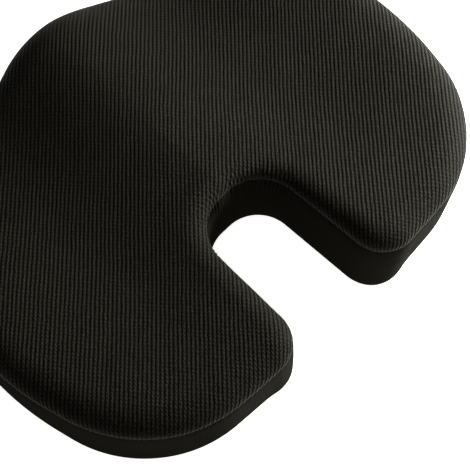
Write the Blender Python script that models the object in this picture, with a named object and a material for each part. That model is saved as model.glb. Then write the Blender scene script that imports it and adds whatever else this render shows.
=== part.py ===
"""Coccyx seat cushion: a memory-foam U in a zipped cover of spacer mesh and knit.

Units are metres, +Z is up, the front edge faces -Y and the tailbone notch opens at +Y.
The origin is the middle of the footprint, on the surface that the cushion lies on.
Every layer is one member of a family of nested surfaces, told apart by its depth under
the outside of the cover, so a layer always follows the layer outside it.
"""

import math

import bmesh
import bpy
from mathutils import Matrix, Vector
from mathutils.geometry import delaunay_2d_cdt

# ---------------------------------------------------------------- driving sizes
WIDTH = 0.450
DEPTH = 0.355
REAR_HEIGHT = 0.0805
FRONT_DROP = 0.012
SEAM_HEIGHT = 0.0655
SEAM_FRONT_DROP = 0.010
SHOULDER_REACH = 0.026
FOOT_RADIUS = 0.009

NOTCH_LENGTH = 0.131
NOTCH_MOUTH = 0.087
NOTCH_END = 0.080
NOTCH_END_RADIUS = 0.036
MOUTH_RADIUS = 0.030
POMMEL_RADIUS = 0.115
SCOOP_DEPTH = 0.043
SCOOP_HALF_SPAN = 0.118
SCOOP_RADIUS = 0.120
FRONT_CORNER_RADIUS = 0.050
SIDE_RADIUS = 0.400
REAR_CORNER_RADIUS = 0.112

HOLLOW_DEPTH = 0.012
THIGH_SCOOP_DEPTH = 0.007
POMMEL_RISE = 0.007

COVER_THICKNESS = 0.002
LINER_THICKNESS = 0.0007
GAP = 0.0003
THREAD_RADIUS = 0.00045

ZIP_FROM_FRONT = 0.070
SLOT_LENGTH = 0.336
SLOT_HALF_WIDTH = 0.009
CHAIN_LENGTH = 0.272
TAPE_HEIGHT = 0.007
TAPE_THICKNESS = 0.0006
TAPE_HALF_WIDTH = 0.0145
TAPE_END = 0.010
COIL_GAP = 0.0006
COIL_WIDTH = 0.0026
COIL_HEIGHT = 0.0018
SLIDER_LENGTH = 0.012
SLIDER_WIDTH = 0.0092
SLIDER_PLATE = 0.0008
PULL_ROD_RADIUS = 0.0005
PULL_LENGTH = 0.026
PULL_WIDTH = 0.0076
PULL_EYE_RIM = 0.002
PULL_CORNER_RADIUS = 0.0022
PULL_ARM_SHARE = 0.6
BRIDGE_SHARE = 0.38
CHANNEL_CLEARANCE = 0.0007

# ---------------------------------------------------------------- sizes that follow
FRONT_Y = -DEPTH / 2
REAR_Y = DEPTH / 2
LINER_DEPTH = COVER_THICKNESS + GAP
FOAM_DEPTH = LINER_DEPTH + LINER_THICKNESS + GAP
SEAM_HALF_GAP = THREAD_RADIUS + GAP
ZIP_Y = FRONT_Y + ZIP_FROM_FRONT
COIL_TOP = TAPE_HEIGHT - GAP
COIL_BOTTOM = COIL_TOP - COIL_HEIGHT
SLIDER_FLOOR = COIL_BOTTOM - GAP - SLIDER_PLATE
SLIDER_ROOF = TAPE_HEIGHT + TAPE_THICKNESS + GAP
ROD_Z = SLIDER_FLOOR - GAP - PULL_ROD_RADIUS
BRIDGE_TOP = ROD_Z - PULL_ROD_RADIUS - GAP
SLIDER_REST_X = -(CHAIN_LENGTH - SLIDER_LENGTH) / 2
LIP_TOP = TAPE_HEIGHT - GAP
CHANNEL_HALF_LENGTH = SLOT_LENGTH / 2 + TAPE_END + 2 * CHANNEL_CLEARANCE
CHANNEL_HALF_WIDTH = TAPE_HALF_WIDTH + 2 * CHANNEL_CLEARANCE
CHANNEL_ROOF = SLIDER_ROOF + SLIDER_PLATE + CHANNEL_CLEARANCE

ARC_STEP = math.radians(16)
EDGE_STEP = 0.034
FIELD_STEP = 0.034
SHOULDER_RINGS = 3
FOOT_RINGS = 2


# ---------------------------------------------------------------- scene helpers
def clear_scene():
    for item in list(bpy.data.objects):
        bpy.data.objects.remove(item, do_unlink=True)


def material(name, colour, roughness, metallic=0.0):
    made = bpy.data.materials.new(name)
    made.use_nodes = True
    shader = made.node_tree.nodes["Principled BSDF"]
    shader.inputs["Base Color"].default_value = (*colour, 1)
    shader.inputs["Roughness"].default_value = roughness
    shader.inputs["Metallic"].default_value = metallic
    made.diffuse_color = (*colour, 1)
    return made


def add_mesh(name, mesh_data, finish):
    """An object from a bmesh, with its faces turned outward."""
    bmesh.ops.recalc_face_normals(mesh_data, faces=mesh_data.faces)
    mesh = bpy.data.meshes.new(name)
    mesh_data.to_mesh(mesh)
    mesh_data.free()
    mesh.shade_smooth()
    mesh.set_sharp_from_angle(angle=math.radians(35))
    item = bpy.data.objects.new(name, mesh)
    bpy.context.scene.collection.objects.link(item)
    item.data.materials.append(finish)
    return item


def box(name, low, high, finish=None):
    shape = bmesh.new()
    size = Vector(high) - Vector(low)
    place = Matrix.Translation((Vector(high) + Vector(low)) / 2) @ Matrix.Diagonal((*size, 1))
    bmesh.ops.create_cube(shape, size=1, matrix=place)
    return add_mesh(name, shape, finish)


def combine(target, tool, operation):
    """Adds or cuts a helper with an exact Boolean, and hides the helper."""
    step = target.modifiers.new(tool.name, "BOOLEAN")
    step.operation = operation
    step.solver = "EXACT"
    step.object = tool
    tool.hide_render = True
    tool.display_type = "WIRE"
    return target


# ---------------------------------------------------------------- plan outline
def smooth_step(value, low, high):
    part = min(max((value - low) / (high - low), 0), 1)
    return part * part * (3 - 2 * part)


def plan_corners():
    """Corners from the pommel round the +X half to the notch, each with its fillet radius."""
    side = WIDTH / 2
    return [
        (0, FRONT_Y - 0.008, POMMEL_RADIUS),
        (SCOOP_HALF_SPAN, FRONT_Y + SCOOP_DEPTH, SCOOP_RADIUS),
        (side - 0.020, FRONT_Y + 0.033, FRONT_CORNER_RADIUS),
        (side + 0.0015, REAR_Y - 0.145, SIDE_RADIUS),
        (side - 0.0205, REAR_Y - 0.052, REAR_CORNER_RADIUS),
        (side - 0.076, REAR_Y - 0.004, REAR_CORNER_RADIUS),
        (NOTCH_MOUTH / 2, REAR_Y + 0.0035, MOUTH_RADIUS),
        (NOTCH_END / 2, REAR_Y - NOTCH_LENGTH, NOTCH_END_RADIUS),
    ]


def full_plan():
    half = plan_corners()
    return half + [(-x, y, radius) for x, y, radius in reversed(half[1:])]


def corner_arc(before, corner, after, radius):
    """Centre, radius, first angle and sweep of the fillet at one corner."""
    to_before = (before - corner).normalized()
    to_after = (after - corner).normalized()
    half_angle = to_before.angle(to_after) / 2
    most = 0.49 * min((before - corner).length, (after - corner).length)
    reach = min(radius / math.tan(half_angle), most)
    radius = reach * math.tan(half_angle)
    centre = corner + (to_before + to_after).normalized() * (radius / math.sin(half_angle))
    start = corner + to_before * reach - centre
    end = corner + to_after * reach - centre
    first = math.atan2(start.y, start.x)
    sweep = (math.atan2(end.y, end.x) - first + math.pi) % (2 * math.pi) - math.pi
    return centre, radius, first, sweep


def plan_stations():
    """Points round the outline, counterclockwise, each with its outward normal."""
    corners = full_plan()
    points = [Vector((x, y)) for x, y, _ in corners]
    stations = []
    for index, (_, _, wanted) in enumerate(corners):
        after = points[(index + 1) % len(points)]
        centre, radius, first, sweep = corner_arc(points[index - 1], points[index], after, wanted)
        turn = 1 if sweep > 0 else -1
        steps = max(2, math.ceil(abs(sweep) / ARC_STEP))
        for step in range(steps + 1):
            angle = first + sweep * step / steps
            ray = Vector((math.cos(angle), math.sin(angle)))
            stations.append((centre + ray * radius, ray * turn))
    return with_edge_points(fit_to_size(stations))


def fit_to_size(stations):
    """Moves and stretches the outline so that it is exactly WIDTH by DEPTH, centred on the origin."""
    ys = [point.y for point, _ in stations]
    stretch_x = WIDTH / 2 / max(point.x for point, _ in stations)
    stretch_y = DEPTH / (max(ys) - min(ys))
    middle = (max(ys) + min(ys)) / 2
    fitted = []
    for point, normal in stations:
        moved = Vector((point.x * stretch_x, (point.y - middle) * stretch_y))
        turned = Vector((normal.x / stretch_x, normal.y / stretch_y)).normalized()
        fitted.append((moved, turned))
    return fitted


def with_edge_points(stations):
    """Splits each long straight stretch, and drops a point that repeats its neighbour."""
    filled = []
    for index, (point, normal) in enumerate(stations):
        after, next_normal = stations[(index + 1) % len(stations)]
        length = (after - point).length
        if length < 0.0005:
            continue
        pieces = max(1, math.ceil(length / EDGE_STEP))
        for piece in range(pieces):
            share = piece / pieces
            blended = normal.lerp(next_normal, share).normalized()
            filled.append((point.lerp(after, share), blended))
    return filled


# ---------------------------------------------------------------- nested surfaces
def frontness(y):
    return 1 - smooth_step(y, FRONT_Y + 0.020, FRONT_Y + 0.190)


def bump(x, y, centre_x, centre_y, reach_x, reach_y):
    """A soft hill of height 1, the same on both sides of the middle."""
    across = (abs(x) - centre_x) / reach_x
    along = (y - centre_y) / reach_y
    return math.exp(-across * across - along * along)


def seat_height(x, y):
    """Height of the outside of the cover where the seat isn't shoulder."""
    height = REAR_HEIGHT - FRONT_DROP * frontness(y)
    height -= HOLLOW_DEPTH * bump(x, y, 0.240 * WIDTH, 0.02, 0.075, 0.085)
    height -= THIGH_SCOOP_DEPTH * bump(x, y, 0.230 * WIDTH, FRONT_Y + 0.02, 0.055, 0.10)
    height += POMMEL_RISE * bump(x, y, 0, FRONT_Y + 0.03, 0.040, 0.09)
    return height


def seam_height(y):
    return SEAM_HEIGHT - SEAM_FRONT_DROP * frontness(y)


def ring(stations, inset, height):
    """One closed loop of points, inset from the outline, at a height that may vary."""
    loop = []
    for point, normal in stations:
        flat = point - normal * inset
        loop.append(Vector((flat.x, flat.y, height(flat.x, flat.y))))
    return loop


def foot_rings(stations, depth):
    """From the flat underside round the lower edge to the upright wall."""
    radius = FOOT_RADIUS - depth
    rings = []
    for step in range(FOOT_RINGS + 1):
        angle = math.pi / 2 * step / FOOT_RINGS
        height = FOOT_RADIUS - radius * math.cos(angle)
        inset = FOOT_RADIUS - radius * math.sin(angle)
        rings.append(ring(stations, inset, lambda x, y, height=height: height))
    return rings


def seam_ring(stations, depth, lift):
    return ring(stations, depth, lambda x, y: seam_height(y) + lift)


def shoulder_rings(stations, depth, lift):
    """From the seam up over the shoulder to the edge of the seat."""
    reach = SHOULDER_REACH - depth
    rings = [seam_ring(stations, depth, lift)]
    for step in range(1, SHOULDER_RINGS + 1):
        angle = math.pi / 2 * step / SHOULDER_RINGS
        rise = math.sin(angle)

        def height(x, y, rise=rise):
            low = seam_height(y)
            return low + (seat_height(x, y) - depth - low) * rise

        rings.append(ring(stations, depth + reach * (1 - math.cos(angle)), height))
    return rings


def field(loop):
    """Fills a loop with a mesh of even points: plan points, and faces whose first ones are the loop."""
    edge = [Vector((point.x, point.y)) for point in loop]
    count_x = round(WIDTH / 2 / FIELD_STEP)
    count_y = round(DEPTH / 2 / FIELD_STEP)
    seeds = []
    for column in range(-count_x, count_x + 1):
        for row in range(-count_y, count_y + 1):
            seed = Vector((column * FIELD_STEP, row * FIELD_STEP))
            if inside(seed, edge) and min((seed - near).length for near in edge) > FIELD_STEP / 2:
                seeds.append(seed)
    around = [(index, (index + 1) % len(edge)) for index in range(len(edge))]
    points, _, faces, _, _, _ = delaunay_2d_cdt(edge + seeds, around, [], 1, 1e-6)
    return points, faces


def inside(point, edge):
    crossings = 0
    for index, start in enumerate(edge):
        end = edge[(index + 1) % len(edge)]
        if (start.y > point.y) != (end.y > point.y):
            share = (point.y - start.y) / (end.y - start.y)
            crossings += point.x < start.x + share * (end.x - start.x)
    return crossings % 2 == 1


def loft(shape, rings):
    """Joins the rings in order, and returns the rings as vertices."""
    loops = [[shape.verts.new(point) for point in loop] for loop in rings]
    for low, high in zip(loops, loops[1:]):
        join_loops(shape, low, high)
    return loops


def join_loops(shape, low, high):
    for index in range(len(low)):
        after = (index + 1) % len(low)
        shape.faces.new((low[index], low[after], high[after], high[index]))


def cap(shape, loop, plan, height):
    """Closes a loop of vertices with the faces of a field, at heights from a function."""
    points, faces = plan
    verts = list(loop)
    for point in points[len(loop):]:
        verts.append(shape.verts.new((point.x, point.y, height(point.x, point.y))))
    for face in faces:
        shape.faces.new([verts[index] for index in face])


def close_flat(shape, loop):
    """Closes a level loop of vertices, also where it bends round the notch."""
    edge = [vert.co.xy for vert in loop]
    around = [(index, (index + 1) % len(edge)) for index in range(len(edge))]
    _, _, faces, _, _, _ = delaunay_2d_cdt(edge, around, [], 1, 1e-6)
    for face in faces:
        shape.faces.new([loop[index] for index in face])


def dome_faces(shape, stations, depth, plan, low_rings, lift=0.0):
    """The upper skin of one layer. Returns its lowest loop."""
    rings = low_rings + shoulder_rings(stations, depth, lift)
    loops = loft(shape, rings)
    cap(shape, loops[-1], plan, lambda x, y: seat_height(x, y) - depth)
    return loops[0]


# ---------------------------------------------------------------- foam and liner
def make_foam(stations, plan, finish):
    shape = bmesh.new()
    low = dome_faces(shape, stations, FOAM_DEPTH, plan, foot_rings(stations, FOAM_DEPTH))
    close_flat(shape, low)
    foam = add_mesh("foam_core", shape, finish)
    reach = LINER_THICKNESS + 2 * GAP
    groove = box(
        "foam_groove",
        (-CHANNEL_HALF_LENGTH - reach, ZIP_Y - CHANNEL_HALF_WIDTH - reach, 0),
        (CHANNEL_HALF_LENGTH + reach, ZIP_Y + CHANNEL_HALF_WIDTH + reach, CHANNEL_ROOF + reach),
    )
    return combine(foam, groove, "DIFFERENCE")


def make_liner_upper(stations, plan, finish):
    shape = bmesh.new()
    outer = dome_faces(shape, stations, LINER_DEPTH, plan, foot_rings(stations, LINER_DEPTH))
    inner_depth = LINER_DEPTH + LINER_THICKNESS
    inner = dome_faces(shape, stations, inner_depth, plan, foot_rings(stations, inner_depth))
    join_loops(shape, outer, inner)
    return add_mesh("inner_liner_upper", shape, finish)


def plate(name, loop, low, high, finish):
    """A flat plate of the loop's outline."""
    shape = bmesh.new()
    bottom = [shape.verts.new((point.x, point.y, low)) for point in loop]
    top = [shape.verts.new((point.x, point.y, high)) for point in loop]
    join_loops(shape, bottom, top)
    close_flat(shape, bottom)
    close_flat(shape, top)
    return add_mesh(name, shape, finish)


def make_liner_base(stations, finish):
    """The liner's underside, with a raised channel over the zip."""
    loop = ring(stations, FOOT_RADIUS + GAP, lambda x, y: 0)
    base = plate("inner_liner_base", loop, LINER_DEPTH, LINER_DEPTH + LINER_THICKNESS, finish)
    wall = LINER_THICKNESS
    half_length = CHANNEL_HALF_LENGTH
    half_width = CHANNEL_HALF_WIDTH
    outside = box(
        "channel_outside",
        (-half_length - wall, ZIP_Y - half_width - wall, LINER_DEPTH),
        (half_length + wall, ZIP_Y + half_width + wall, CHANNEL_ROOF + wall),
    )
    hollow = box(
        "channel_inside",
        (-half_length, ZIP_Y - half_width, 0),
        (half_length, ZIP_Y + half_width, CHANNEL_ROOF),
    )
    combine(base, outside, "UNION")
    return combine(base, hollow, "DIFFERENCE")


# ---------------------------------------------------------------- cover
def make_top_panel(stations, plan, finish):
    shape = bmesh.new()
    outer = dome_faces(shape, stations, 0, plan, [], SEAM_HALF_GAP)
    inner = dome_faces(shape, stations, COVER_THICKNESS, plan, [], SEAM_HALF_GAP)
    join_loops(shape, outer, inner)
    return add_mesh("top_panel", shape, finish)


def make_side_band(stations, finish):
    shape = bmesh.new()
    ends = []
    for depth in (0, COVER_THICKNESS):
        rings = foot_rings(stations, depth) + [seam_ring(stations, depth, -SEAM_HALF_GAP)]
        loops = loft(shape, rings)
        ends.append((loops[0], loops[-1]))
    join_loops(shape, ends[0][0], ends[1][0])
    join_loops(shape, ends[0][1], ends[1][1])
    return add_mesh("side_band", shape, finish)


def keep_beyond(loop, y_line, front):
    """The part of a loop in front of a line across it, or behind it."""
    kept = []
    for index, point in enumerate(loop):
        after = loop[(index + 1) % len(loop)]
        here = (point.y < y_line) == front
        there = (after.y < y_line) == front
        if here:
            kept.append(point)
        if here != there:
            share = (y_line - point.y) / (after.y - point.y)
            kept.append(point.lerp(after, share))
    return kept


def make_bottom_panel(name, stations, front, finish):
    """One half of the underside, with a turned-up lip along the zip's slot."""
    side = -1 if front else 1
    loop = ring(stations, FOOT_RADIUS + 2 * SEAM_HALF_GAP, lambda x, y: 0)
    meeting = ZIP_Y + side * GAP / 2
    panel = plate(name, keep_beyond(loop, meeting, front), 0, COVER_THICKNESS, finish)
    far = ZIP_Y + side * (SLOT_HALF_WIDTH + COVER_THICKNESS)
    lip = box(
        name + "_lip",
        (-SLOT_LENGTH / 2 - COVER_THICKNESS, min(meeting, far), 0),
        (SLOT_LENGTH / 2 + COVER_THICKNESS, max(meeting, far), LIP_TOP),
    )
    slot = box(
        name + "_slot",
        (-SLOT_LENGTH / 2, ZIP_Y - SLOT_HALF_WIDTH, -0.01),
        (SLOT_LENGTH / 2, ZIP_Y + SLOT_HALF_WIDTH, LIP_TOP + 0.01),
    )
    combine(panel, lip, "UNION")
    return combine(panel, slot, "DIFFERENCE")


def make_thread(name, stations, inset, height, finish):
    """A closed thread along a seam, square in section."""
    r = THREAD_RADIUS
    corners = [(-r, 0), (0, -r), (r, 0), (0, r)]
    rings = []
    for across, up in corners:
        rings.append(ring(stations, inset + across, lambda x, y, up=up: height(y) + up))
    shape = bmesh.new()
    loops = loft(shape, rings)
    join_loops(shape, loops[-1], loops[0])
    return add_mesh(name, shape, finish)


# ---------------------------------------------------------------- zip
def make_tape(name, side, finish):
    near, far = sorted((ZIP_Y + side * COIL_GAP, ZIP_Y + side * TAPE_HALF_WIDTH))
    reach = SLOT_LENGTH / 2 + TAPE_END
    top = TAPE_HEIGHT + TAPE_THICKNESS
    return box(name, (-reach, near, TAPE_HEIGHT), (reach, far, top), finish)


def make_coil(name, side, finish):
    """A coil of teeth as its outer shape, a bar."""
    near = ZIP_Y + side * COIL_GAP
    far = near + side * COIL_WIDTH
    half = CHAIN_LENGTH / 2
    low, high = sorted((near, far))
    return box(name, (-half, low, COIL_BOTTOM), (half, high, COIL_TOP), finish)


def make_stop(name, x, width, finish):
    """A clip round the end of the chain, under both tapes."""
    half = SLIDER_PLATE
    low = (x - half, ZIP_Y - width / 2, COIL_BOTTOM)
    high = (x + half, ZIP_Y + width / 2, COIL_TOP)
    return box(name, low, high, finish)


def make_top_stop(name, side, finish):
    """One of the two clips at the closed end, on its own tape."""
    x = -CHAIN_LENGTH / 2 - GAP - SLIDER_PLATE
    low_y, high_y = sorted((ZIP_Y + side * COIL_GAP, ZIP_Y + side * (COIL_GAP + COIL_WIDTH)))
    return box(name, (x - SLIDER_PLATE, low_y, COIL_BOTTOM), (x + SLIDER_PLATE, high_y, COIL_TOP), finish)


def make_slider(finish):
    """Two plates joined by a post between the coils, with flanges and a bridge for the pull."""
    x = SLIDER_REST_X
    half = SLIDER_LENGTH / 2
    wide = SLIDER_WIDTH / 2
    plate_top = SLIDER_FLOOR + SLIDER_PLATE
    name = "zipper_slider"
    body = box(name, (x - half, ZIP_Y - wide, SLIDER_FLOOR), (x + half, ZIP_Y + wide, plate_top), finish)
    roof_low = (x - half, ZIP_Y - wide, SLIDER_ROOF)
    roof = box("slider_roof", roof_low, (x + half, ZIP_Y + wide, SLIDER_ROOF + SLIDER_PLATE))
    post_half = COIL_GAP - GAP
    post = box(
        "slider_post",
        (x - half + SLIDER_PLATE, ZIP_Y - post_half, SLIDER_FLOOR + SLIDER_PLATE / 2),
        (x - half + 4 * SLIDER_PLATE, ZIP_Y + post_half, SLIDER_ROOF + SLIDER_PLATE / 2),
    )
    tools = [roof, post]
    for side in (-1, 1):
        low, high = sorted((ZIP_Y + side * wide, ZIP_Y + side * (wide - SLIDER_PLATE)))
        flange_low = (x - half, low, SLIDER_FLOOR + SLIDER_PLATE / 2)
        flange_high = (x + half, high, TAPE_HEIGHT - GAP)
        tools.append(box(f"slider_flange_{side + 1}", flange_low, flange_high))
    for tool in reversed(tools):
        combine(body, tool, "UNION")
    return combine(body, make_bridge(x), "UNION")


def make_bridge(x):
    """The arch under the slider: its profile lies in XZ and is extruded across."""
    reach = SLIDER_LENGTH * BRIDGE_SHARE
    leg = SLIDER_PLATE
    foot = SLIDER_FLOOR + SLIDER_PLATE / 2
    under = BRIDGE_TOP - SLIDER_PLATE
    profile = [
        (-reach, foot),
        (-reach, BRIDGE_TOP),
        (-reach + leg, under),
        (reach - leg, under),
        (reach, BRIDGE_TOP),
        (reach, foot),
        (reach - leg, foot),
        (reach - leg, BRIDGE_TOP),
        (-reach + leg, BRIDGE_TOP),
        (-reach + leg, foot),
    ]
    half_width = SLIDER_PLATE
    shape = bmesh.new()
    face = shape.faces.new([shape.verts.new((x + px, ZIP_Y - half_width, pz)) for px, pz in profile])
    grown = bmesh.ops.extrude_face_region(shape, geom=[face])
    moved = [item for item in grown["geom"] if isinstance(item, bmesh.types.BMVert)]
    bmesh.ops.translate(shape, verts=moved, vec=(0, 2 * half_width, 0))
    return add_mesh("slider_bridge", shape, None)


def make_pull(finish):
    """The pull tab: a plate with an eye, which turns on its rod inside the bridge."""
    bridge_half = SLIDER_PLATE
    eye_half = bridge_half + 2 * GAP
    arm = (PULL_WIDTH / 2 - eye_half) * PULL_ARM_SHARE
    neck = eye_half + arm
    eye_end = SLIDER_LENGTH * BRIDGE_SHARE + 2 * GAP
    r = PULL_ROD_RADIUS
    pull = box("zipper_pull_tab", (0, -neck, -r), (eye_end + 2 * PULL_EYE_RIM, neck, r), finish)
    blade_low = (eye_end + PULL_EYE_RIM, -PULL_WIDTH / 2, -r)
    blade = box("pull_blade", blade_low, (PULL_LENGTH, PULL_WIDTH / 2, r))
    round_corners = blade.modifiers.new("corners", "BEVEL")
    round_corners.width = PULL_CORNER_RADIUS
    round_corners.segments = 4
    upright = [edge for edge in blade.data.edges if is_upright(blade.data, edge)]
    weights = blade.data.attributes.new("bevel_weight_edge", "FLOAT", "EDGE")
    for edge in upright:
        weights.data[edge.index].value = 1
    round_corners.limit_method = "WEIGHT"
    eye = box("pull_eye", (r, -eye_half, -2 * r), (eye_end, eye_half, 2 * r))
    rod = bmesh.new()
    turn = Matrix.Rotation(math.pi / 2, 4, "X")
    bmesh.ops.create_cone(rod, cap_ends=True, segments=12, radius1=r, radius2=r, depth=2 * neck, matrix=turn)
    axle = add_mesh("pull_rod", rod, None)
    combine(pull, blade, "UNION")
    combine(pull, eye, "DIFFERENCE")
    combine(pull, axle, "UNION")
    hinge = bpy.data.objects.new("pull_hinge", None)
    bpy.context.scene.collection.objects.link(hinge)
    hinge.location = (SLIDER_REST_X, ZIP_Y, ROD_Z)
    for item in (pull, blade, eye, axle):
        item.parent = hinge
    return pull


def is_upright(mesh, edge):
    start, end = (mesh.vertices[index].co for index in edge.vertices)
    return abs(start.x - end.x) + abs(start.y - end.y) < 1e-6


def main():
    clear_scene()
    mesh_cloth = material("spacer_mesh", (0.020, 0.019, 0.016), 0.85)
    knit = material("band_knit", (0.018, 0.017, 0.015), 0.9)
    base_cloth = material("base_cloth", (0.016, 0.016, 0.015), 0.9)
    foam_finish = material("memory_foam", (0.78, 0.74, 0.62), 0.95)
    liner_finish = material("liner_knit", (0.62, 0.62, 0.60), 0.9)
    thread_finish = material("thread", (0.012, 0.012, 0.012), 0.7)
    tape_finish = material("zipper_tape", (0.014, 0.014, 0.014), 0.85)
    coil_finish = material("zipper_coil", (0.020, 0.020, 0.020), 0.45)
    metal = material("zipper_metal", (0.05, 0.05, 0.05), 0.35, 0.8)

    stations = plan_stations()
    plan = field(ring(stations, SHOULDER_REACH, lambda x, y: 0))

    make_foam(stations, plan, foam_finish)
    make_liner_upper(stations, plan, liner_finish)
    make_liner_base(stations, liner_finish)
    make_top_panel(stations, plan, mesh_cloth)
    make_side_band(stations, knit)
    make_bottom_panel("bottom_panel_rear", stations, False, base_cloth)
    make_bottom_panel("bottom_panel_front", stations, True, base_cloth)
    top_inset = COVER_THICKNESS / 2
    make_thread("top_seam_thread", stations, top_inset, seam_height, thread_finish)
    foot_inset = FOOT_RADIUS + SEAM_HALF_GAP
    make_thread("bottom_seam_thread", stations, foot_inset, lambda y: COVER_THICKNESS / 2, thread_finish)

    for name, side in (("rear", 1), ("front", -1)):
        make_tape("zipper_tape_" + name, side, tape_finish)
        make_coil("zipper_coil_" + name, side, coil_finish)
        make_top_stop("zipper_top_stop_" + name, side, metal)
    stop_x = CHAIN_LENGTH / 2 + GAP + SLIDER_PLATE
    make_stop("zipper_bottom_stop", stop_x, 2 * (COIL_GAP + COIL_WIDTH), metal)
    make_slider(metal)
    make_pull(metal)


main()
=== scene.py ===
"""Coccyx seat cushion, the looks: cloth, seams, zip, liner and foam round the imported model.

Units are metres, +Z is up, the front edge faces -Y and the tailbone notch opens at +Y.
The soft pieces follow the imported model's plan outline and nested surfaces in finer steps,
and every cloth carries coordinates in metres, so its weave has its real size.
"""

import math

import bpy
import numpy as np
from mathutils import Matrix, Vector, noise
from mathutils.geometry import delaunay_2d_cdt


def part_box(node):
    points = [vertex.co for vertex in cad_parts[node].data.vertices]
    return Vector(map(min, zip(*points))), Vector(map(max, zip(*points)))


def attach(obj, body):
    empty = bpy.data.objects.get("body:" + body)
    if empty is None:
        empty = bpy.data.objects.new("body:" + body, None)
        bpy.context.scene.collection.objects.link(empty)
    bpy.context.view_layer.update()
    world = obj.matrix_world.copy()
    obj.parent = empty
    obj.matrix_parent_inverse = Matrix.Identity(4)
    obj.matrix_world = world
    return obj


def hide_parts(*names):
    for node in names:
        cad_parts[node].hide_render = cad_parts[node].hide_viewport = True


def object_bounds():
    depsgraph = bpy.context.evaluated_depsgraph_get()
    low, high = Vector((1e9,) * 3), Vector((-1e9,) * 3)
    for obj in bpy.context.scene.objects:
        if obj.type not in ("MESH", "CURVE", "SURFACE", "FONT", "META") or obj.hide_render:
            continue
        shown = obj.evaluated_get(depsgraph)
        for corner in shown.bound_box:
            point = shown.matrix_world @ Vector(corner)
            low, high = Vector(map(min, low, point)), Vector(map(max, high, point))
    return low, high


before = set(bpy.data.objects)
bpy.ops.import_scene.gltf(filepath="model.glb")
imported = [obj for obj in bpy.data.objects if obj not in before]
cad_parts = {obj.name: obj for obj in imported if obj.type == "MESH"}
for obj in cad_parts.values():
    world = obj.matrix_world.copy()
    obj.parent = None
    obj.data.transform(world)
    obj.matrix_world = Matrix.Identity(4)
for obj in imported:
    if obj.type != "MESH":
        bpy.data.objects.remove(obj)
CAD_LOW, CAD_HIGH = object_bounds()
TURN = 2 * math.pi

# noise_vector would otherwise differ from run to run
noise.seed_set(5)

# ---- sizes from the frame
WIDTH = CAD_HIGH.x - CAD_LOW.x
DEPTH = CAD_HIGH.y - CAD_LOW.y
FRONT_Y = CAD_LOW.y
REAR_Y = CAD_HIGH.y
TAPE_LOW, TAPE_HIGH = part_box("zipper_tape_rear")
COIL_LOW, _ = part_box("zipper_coil_rear")
SLIDER_LOW, SLIDER_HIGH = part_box("zipper_slider")
PULL_LOW, PULL_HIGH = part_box("zipper_pull_tab")
ZIP_Y = (SLIDER_LOW.y + SLIDER_HIGH.y) / 2

# ---- sizes of the soft shape
REAR_HEIGHT = 0.0805
FRONT_DROP = 0.012
SEAM_HEIGHT = 0.0655
SEAM_FRONT_DROP = 0.010
SHOULDER_REACH = 0.026
NOTCH_SHOULDER_REACH = 0.019
FOOT_RADIUS = 0.009
WALL_UNDERCUT = 0.0020
NOTCH_FLARE = 0.0040

NOTCH_LENGTH = 0.131
NOTCH_MOUTH = 0.087
NOTCH_END = 0.080
NOTCH_END_RADIUS = 0.036
MOUTH_RADIUS = 0.030
POMMEL_RADIUS = 0.115
SCOOP_DEPTH = 0.043
SCOOP_HALF_SPAN = 0.118
SCOOP_RADIUS = 0.120
FRONT_CORNER_RADIUS = 0.050
SIDE_RADIUS = 0.400
REAR_CORNER_RADIUS = 0.112

HOLLOW_DEPTH = 0.012
THIGH_SCOOP_DEPTH = 0.009
POMMEL_RISE = 0.011

CLOTH_THICKNESS = 0.0014
LINER_DEPTH = 0.0023
LINER_THICKNESS = 0.0007
FOAM_DEPTH = 0.0033
SEAM_FOLD = 0.0013
SEAM_GAP = 0.0001
FLAP_DEPTH = 0.0021
SEAM_TUCK = 0.0006
SEAM_TUCK_REACH = 0.0035

# depth and reach of the gathers at the seam, on plain runs and in the notch's inner corners
TOP_GATHERS = ((0.00020, 0.0050), (0.00105, 0.0105))
BAND_GATHERS = ((0.00016, 0.0045), (0.00190, 0.0140))
GATHER_PITCH = 0.0066
CORNER_GATHER_PITCH = 0.0034

SLOT_HALF_LENGTH = 0.168
SLOT_HALF_WIDTH = 0.009
CHANNEL_CLEARANCE = 0.0014
CHANNEL_SLOPE = 0.003
CHANNEL_HEADROOM = 0.0008

# ---- weave
RIB_PITCH = 0.0033
LOOP_PITCH = 0.0032
ROW_SKEW = 0.10
RIB_ANGLE = math.radians(45.6)
RIB_DIRECTION = Vector((math.cos(RIB_ANGLE), math.sin(RIB_ANGLE)))
BAND_RIB_PITCH = 0.0022
WEAVE_PITCH = 0.0009

# ---- mesh steps
OUTLINE_STEP = 0.0015
GATHER_DETAIL = 2.4
SEAT_STEP = 0.0035
SHOULDER_RINGS = 16
WALL_STEP = 0.003
INNER_STEP = 0.006
INNER_MARGIN = 0.004


def smooth_step(value, low, high):
    part = np.clip((value - low) / (high - low), 0, 1)
    return part * part * (3 - 2 * part)


def quarter_turn(steps):
    """Sine and cosine of each angle from 0 to 90 degrees."""
    angles = [math.pi / 2 * step / steps for step in range(steps + 1)]
    return [(math.sin(angle), math.cos(angle)) for angle in angles]


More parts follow.
